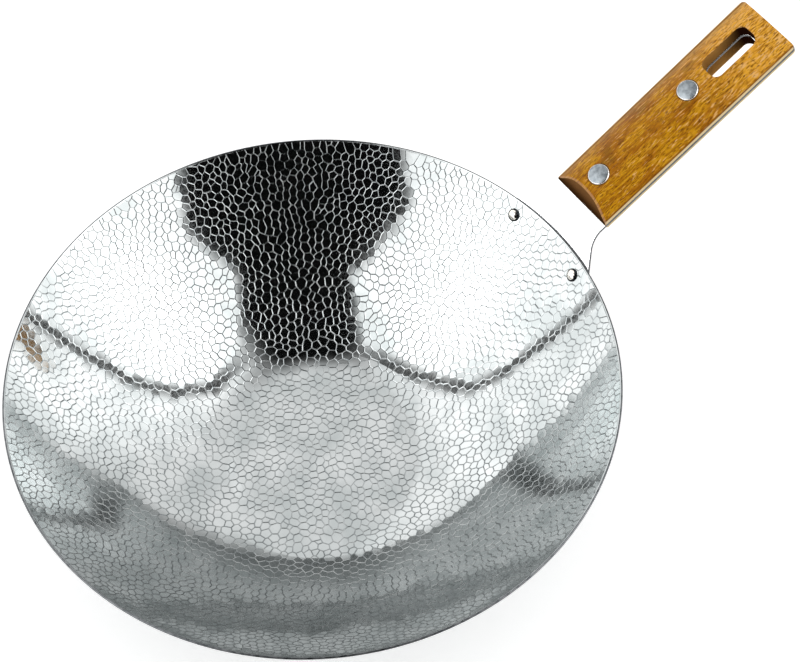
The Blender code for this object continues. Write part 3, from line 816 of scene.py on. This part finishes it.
def make_scale(name, side, wood, cutters):
    """One wooden scale; side is 1 above the tang and -1 below it."""
    shape = bmesh.new()
    add_outline(shape, mirrored([
        (0.0, half_grip(0.0), 0.0), (GRIP_LENGTH, half_grip(GRIP_LENGTH), GRIP_END_CORNER),
    ]))
    add_outline(shape, slot_corners(0.0))
    fill_between_outlines(shape)
    half = GRIP_END_WIDTH / 2
    slice_plate(shape, 1, evenly(-half, half, CROWN_CUTS))
    for vert in extruded(shape):
        height = crown(vert.co.y)
        front = max(0.0, 1 - vert.co.x / LEAN_REACH)
        end = max(0.0, 1 - (GRIP_LENGTH - vert.co.x) / LEAN_REACH)
        vert.co.x += height * (front * math.tan(FRONT_LEAN) - end * math.tan(END_LEAN))
        vert.co.z = height
    bmesh.ops.recalc_face_normals(shape, faces=shape.faces)
    bmesh.ops.dissolve_limit(
        shape, angle_limit=FLAT_ANGLE, verts=shape.verts, edges=shape.edges
    )
    # Cuts beside both ends keep the crown's smooth shading straight up to them
    far_cut = GRIP_LENGTH - GRIP_END_CORNER - END_CUT
    for start, lean in ((END_CUT, -FRONT_LEAN), (far_cut, END_LEAN)):
        bmesh.ops.bisect_plane(
            shape, geom=shape.verts[:] + shape.edges[:] + shape.faces[:], dist=CUT_SNAP,
            plane_co=(start, 0.0, 0.0), plane_no=(math.cos(lean), 0.0, math.sin(lean)),
        )
    around = [
        edge for edge in shape.edges
        if edge.calc_face_angle(0.0) > SHARP_ANGLE
        and max(vert.co.z for vert in edge.verts) > MERGE_DISTANCE
    ]
    bmesh.ops.bevel(
        shape, geom=around, offset=SCALE_EDGE_ROUNDING, offset_type="OFFSET", segments=3,
        profile=0.5, affect="EDGES", clamp_overlap=True, material=-1,
    )
    base = SEAT_GAP if side > 0 else -BRACKET_SHEET - SEAT_GAP
    flip = Matrix.Translation((0.0, 0.0, base)) @ Matrix.Diagonal((1.0, 1.0, side, 1.0))
    bmesh.ops.transform(shape, matrix=HANDLE_FRAME @ flip, verts=shape.verts)
    bmesh.ops.recalc_face_normals(shape, faces=shape.faces)
    return carved(finished(name, shape, [wood]), cutters)


def carved(piece, cutters):
    """Piece with the cutters' shapes taken out of its mesh."""
    for cutter in cutters:
        boolean = piece.modifiers.new("carve", "BOOLEAN")
        boolean.operation = "DIFFERENCE"
        boolean.object = cutter
    graph = bpy.context.evaluated_depsgraph_get()
    mesh = bpy.data.meshes.new_from_object(piece.evaluated_get(graph))
    piece.modifiers.clear()
    piece.data = mesh
    mesh.set_sharp_from_angle(angle=SHARP_ANGLE)
    return piece


def make_rivet_cutter(place):
    """Stepped hole for a rivet through both scales, wider where its heads are let in."""
    spot = GRIP_RIVET_HEAD_RADIUS + HOLE_CLEARANCE
    hole = GRIP_RIVET_TUBE_RADIUS + HOLE_CLEARANCE
    upper, lower = HEAD_SEAT, -BRACKET_SHEET - HEAD_SEAT
    beyond = 2 * CROWN_HEIGHT
    shape = turned([
        (0.0, upper + beyond), (spot, upper + beyond), (spot, upper), (hole, upper),
        (hole, lower), (spot, lower), (spot, lower - beyond), (0.0, lower - beyond),
    ])
    matrix = HANDLE_FRAME @ Matrix.Translation((RIVET_PLACES[place], 0.0, 0.0))
    return finished("cutter_" + place, shape, [], matrix)


def make_grip_rivet(name, place, side, steel, bright):
    """One half of a grip rivet: a low dome inside a rolled edge painted bright as a highlight, and
    its barrel.
    """
    seat = HEAD_SEAT + SEAT_GAP
    edge = seat + GRIP_RIVET_HEAD_EDGE
    head, tube = GRIP_RIVET_HEAD_RADIUS, GRIP_RIVET_TUBE_RADIUS
    dome, step = head - GRIP_RIVET_DOME_INSET, GRIP_RIVET_DOME_STEP
    profile = arc_profile(dome, edge + step, GRIP_RIVET_DOME - step)
    profile += [(head - inset, edge + rise) for inset, rise in GRIP_RIVET_ROLL]
    profile += [(head, seat), (tube, seat), (tube, BRACKET_SHEET), (0.0, BRACKET_SHEET)]
    shape = turned(profile)
    # The rolled edge takes the bright steel: painted highlight
    for face in shape.faces:
        if face.calc_center_median().xy.length > dome:
            face.material_index = 1
    if side < 0:
        mirror = Matrix.Diagonal((1.0, 1.0, -1.0, 1.0))
        flip = Matrix.Translation((0.0, 0.0, -BRACKET_SHEET)) @ mirror
        bmesh.ops.transform(shape, matrix=flip, verts=shape.verts)
        bmesh.ops.recalc_face_normals(shape, faces=shape.faces)
    matrix = HANDLE_FRAME @ Matrix.Translation((RIVET_PLACES[place], 0.0, 0.0))
    return finished(name, shape, [steel, bright], matrix)


def make_bowl_rivet(name, side, bright, shaded_flank_steel):
    """Solid rivet: domed head inside the bowl, formed head under the flange."""
    across = side * BOWL_RIVET_SPACING / 2
    slope = RIM_SLOPE - BOWL_RIVET_DROP / SEAT_RADIUS
    radius, height = arc_point(ARCS[2], slope, BOWL_SHEET)
    tip = Matrix.Translation((radius, 0.0, height)) @ Matrix.Rotation(-slope, 4, "Y")
    matrix = Matrix.Rotation(math.asin(across / radius), 4, "Z") @ tip
    head_seat = BOWL_SHEET + SEAT_GAP
    formed_seat = -2 * SEAT_GAP - BRACKET_SHEET
    profile = arc_profile(BOWL_RIVET_HEAD_RADIUS, head_seat, BOWL_RIVET_HEAD_DOME)
    profile += [(BOWL_RIVET_SHANK_RADIUS, head_seat), (BOWL_RIVET_SHANK_RADIUS, formed_seat)]
    formed = arc_profile(BOWL_RIVET_FORMED_RADIUS, formed_seat, -BOWL_RIVET_FORMED_DOME)
    profile += reversed(formed)
    shape = turned(profile)
    # The domed head's top keeps the bright steel as a painted highlight; its flank takes the near
    # black steel as painted shade
    for face in shape.faces:
        spot = face.calc_center_median()
        if math.hypot(spot.x, spot.y) > BOWL_RIVET_LIT_TOP_RADIUS and spot.z > head_seat:
            face.material_index = 1
    return finished(name, shape, [bright, shaded_flank_steel], matrix)


# Studio


def camera_matrix():
    """Camera pose: it looks at the middle of the rim, then turns by small angles."""
    back = Vector((0.0, -math.cos(CAMERA_ELEVATION), math.sin(CAMERA_ELEVATION)))
    right = Vector((1.0, 0.0, 0.0))
    up = back.cross(right)
    pose = Matrix((right, up, back)).transposed().to_4x4()
    pose = pose @ Matrix.Rotation(-CAMERA_YAW, 4, "Y") @ Matrix.Rotation(-CAMERA_PITCH, 4, "X")
    pose = pose @ Matrix.Rotation(-CAMERA_ROLL, 4, "Z")
    centre = Vector((0.0, 0.0, RIM_HEIGHT))
    return (
        Matrix.Translation(centre) @ Matrix.Rotation(CAMERA_AZIMUTH, 4, "Z")
        @ Matrix.Translation(back * CAMERA_DISTANCE) @ pose
    )


def add_camera():
    """Long lens at the photograph's viewing angle."""
    camera = bpy.data.objects.new("camera", bpy.data.cameras.new("camera"))
    camera.data.lens = CAMERA_LENS
    camera.data.sensor_width = SENSOR_WIDTH
    camera.matrix_world = camera_matrix()
    bpy.context.scene.collection.objects.link(camera)
    bpy.context.scene.camera = camera


def add_floor():
    """Pale matt floor that keeps its shadow, lifted to plain white where eye or mirror sees it."""
    shape = bmesh.new()
    bmesh.ops.create_grid(shape, x_segments=1, y_segments=1, size=FLOOR_HALF_SIZE)
    material, tree, shader = new_material("pale_studio_floor")
    seen = add_node(tree, "LightPath", {}, "Is Camera Ray")
    for ray in ("Is Glossy Ray", "Is Transmission Ray"):
        other = add_node(tree, "LightPath", {}, ray)
        seen = add_node(tree, "Math", {0: seen, 1: other}, operation="MAXIMUM")
    lift = {0: seen, 1: FLOOR_LIFT}
    feed(tree, shader, {
        "Base Color": colour("#F4F4F4"),
        "Roughness": 1.0,
        "Specular IOR Level": 0.0,
        "Emission Color": colour("#FFFFFF"),
        "Emission Strength": add_node(tree, "Math", lift, operation="MULTIPLY"),
    })
    finished("studio_floor", shape, [material])


def add_world():
    """Even white light for matt surfaces, and the tent of panels for what mirrors it."""
    world = bpy.data.worlds.new("studio")
    world.use_nodes = True
    tree = world.node_tree
    ray = add_node(tree, "TexCoord", {}, "Generated")
    turn = {"Vector": ray, "Angle": -CAMERA_AZIMUTH}
    turned_ray = add_node(tree, "VectorRotate", turn, rotation_type="Z_AXIS")
    x, y, z = (add_node(tree, "SeparateXYZ", {0: turned_ray}, axis) for axis in "XYZ")
    zenith = add_node(tree, "Math", {0: z}, operation="ARCCOSINE")
    degrees = add_node(tree, "Math", {0: zenith}, operation="DEGREES")
    sine = add_node(tree, "Math", {0: zenith}, operation="SINE")
    spread = add_node(tree, "Math", {0: degrees, 1: sine}, operation="DIVIDE")
    right = add_node(tree, "Math", {0: x, 1: spread}, operation="MULTIPLY")
    beyond = add_node(tree, "Math", {0: y, 1: spread}, operation="MULTIPLY")
    spot = add_node(tree, "CombineXYZ", {"X": right, "Y": beyond, "Z": 1.0})

    # Each part of the tent is a distance on the map, and the level it rises to over a range
    diagonal = add_node(tree, "Math", {0: right, 1: beyond}, operation="SUBTRACT")
    slanted = add_node(tree, "Math", {0: right, 1: 0.3, 2: beyond}, operation="MULTIPLY_ADD")
    square = add_node(tree, "Math", {0: right, 1: right}, operation="MULTIPLY")
    bulged = add_node(tree, "Math", {0: square, 1: 0.05, 2: beyond}, operation="MULTIPLY_ADD")
    parts = [
        (right, -2.0, -12.0, (BACK_PANEL + LEFT_PANEL) / 2),
        (right, -28.0, -46.0, LEFT_PANEL),
        (diagonal, 2.0, 32.0, RIGHT_PANEL),
        (slanted, 68.0, 78.0, HORIZON),
        (bulged, 30.0, -3.0, DARK_GAP),
    ]
    # The cloth of both softboxes is brightest in front of its lamp
    aside = add_node(tree, "Math", {0: right}, operation="ABSOLUTE")
    mirrored_spot = add_node(tree, "CombineXYZ", {"X": aside, "Y": beyond})
    ends = {0: mirrored_spot, 1: (*LAMP_SPOT, 0.0)}
    fall = {
        "Value": add_node(tree, "VectorMath", ends, "Value", operation="DISTANCE"),
        "From Min": LAMP_INNER, "From Max": LAMP_OUTER,
        "To Min": SOFTBOX_LAMP, "To Max": SOFTBOX_CLOTH,
    }
    glow = add_node(tree, "MapRange", fall, interpolation_type="SMOOTHSTEP")
    for outline in (LEFT_SOFTBOX, RIGHT_SOFTBOX, DARK_NOOK):
        depth = None
        for start, end in zip(outline, outline[1:]):
            run = (Vector(end) - Vector(start)).normalized()
            inward = (-run.y, run.x, run.y * start[0] - run.x * start[1])
            dot = {0: spot, 1: inward}
            side = add_node(tree, "VectorMath", dot, "Value", operation="DOT_PRODUCT")
            if depth is None:
                depth = side
            else:
                depth = add_node(tree, "Math", {0: depth, 1: side}, operation="MINIMUM")
        if outline is DARK_NOOK:
            parts.append((depth, -1.5, 1.5, DARK_GAP))
            continue
        # The seam along it fades out below, where it would run into the dark gap
        lower = add_node(tree, "Math", {0: beyond, 1: 0.2, 2: -3.0}, operation="MULTIPLY_ADD")
        seam = add_node(tree, "Math", {0: depth, 1: lower}, operation="MINIMUM")
        parts.append((seam, -5.2, -2.9, SEAM))
        parts.append((depth, -0.6, 1.2, glow))

    level = BACK_PANEL
    for distance, start, end, light in parts:
        reach = {"Value": distance, "From Min": start, "From Max": end}
        share = add_node(tree, "MapRange", reach, interpolation_type="SMOOTHSTEP")
        level = add_node(tree, "Mix", {"Factor": share, "A": level, "B": light})
    glossy = add_node(tree, "LightPath", {}, "Is Glossy Ray")
    level = add_node(tree, "Mix", {"Factor": glossy, "A": ROOM_LIGHT, "B": level})
    feed(tree, tree.nodes["Background"], {"Color": colour("#FFFFFF"), "Strength": level})
    bpy.context.scene.world = world


# Scene

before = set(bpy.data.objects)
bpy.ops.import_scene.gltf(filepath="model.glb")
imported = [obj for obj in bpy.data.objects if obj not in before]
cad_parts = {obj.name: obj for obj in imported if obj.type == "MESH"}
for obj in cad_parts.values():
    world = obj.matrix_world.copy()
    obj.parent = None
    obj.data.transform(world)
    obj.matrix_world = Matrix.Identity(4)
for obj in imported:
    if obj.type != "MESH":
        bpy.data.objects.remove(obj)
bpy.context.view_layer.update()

bpy.context.scene.view_settings.view_transform = "Standard"
add_camera()
add_floor()
add_world()

steel = polished_steel()
stamping = stamped_steel()
# Walls of the pressed grooves: duller, because no polishing wheel reaches them, and painted darker
# as shade in the grooves
grooves = plain_steel(
    "stainless_steel_in_grooves", "#7A7E7F", "#9C9F9F",
    grain=0.006, smooth=0.17, rough=0.30, relief=0.00001,
)
# Sheared and deburred edges of the sheets: matt beside the polish, and painted dark as shade and
# dark reflection
sheared_and_shaded_edge = plain_steel(
    "sheared_stainless_edge_painted_dark", "#46494B", "#67696B",
    grain=0.003, smooth=0.25, rough=0.42, relief=0.00002,
)
# Heads of soft steel wire, tumbled: grey and satin, dented by the heading tool
rivet = plain_steel(
    "satin_rivet_steel", "#666C70", "#8E9498",
    grain=0.0026, smooth=0.36, rough=0.5, relief=0.0002,
)
# The same steel polished by rubbing, and painted bright and warm as a highlight: tops of the bowl
# rivets and rolled edges of the grip rivets
rubbed_and_highlit = plain_steel(
    "rubbed_rivet_steel_painted_bright", "#C6C0B9", "#E6E0D9",
    grain=0.0012, smooth=0.12, rough=0.25, relief=0.00001,
)
# The same steel painted near black as shade and dark reflection: flanks of the bowl rivets
shaded_flank_steel = plain_steel(
    "rivet_flank_painted_shade", "#1A1C1E", "#3A3D40",
    grain=0.0009, smooth=0.32, rough=0.48, relief=0.00002,
)
wood = varnished_wood()

pieces = [
    (make_bowl(steel, grooves, sheared_and_shaded_edge), "bowl", "stainless_steel"),
    (make_bracket(stamping, sheared_and_shaded_edge), "handle_bracket", "stainless_steel"),
]
cutters = [make_rivet_cutter(place) for place in RIVET_PLACES]
for name, side in (("top", 1), ("bottom", -1)):
    scale = make_scale("wok_handle_scale_" + name, side, wood, cutters)
    pieces.append((scale, "handle_scale_" + name, "varnished_wood"))
for cutter in cutters:
    bpy.data.objects.remove(cutter)
for place in RIVET_PLACES:
    for half, side in (("male", 1), ("female", -1)):
        node = "handle_rivet_" + place + "_" + half
        piece = make_grip_rivet("wok_" + node, place, side, rivet, rubbed_and_highlit)
        pieces.append((piece, node, "rivet_steel"))
for name, side in (("left", 1), ("right", -1)):
    node = "bowl_rivet_" + name
    piece = make_bowl_rivet("wok_" + node, side, rubbed_and_highlit, shaded_flank_steel)
    pieces.append((piece, node, "rivet_steel"))

for piece, node, slot in pieces:
    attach(piece, "root")
    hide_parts(node)
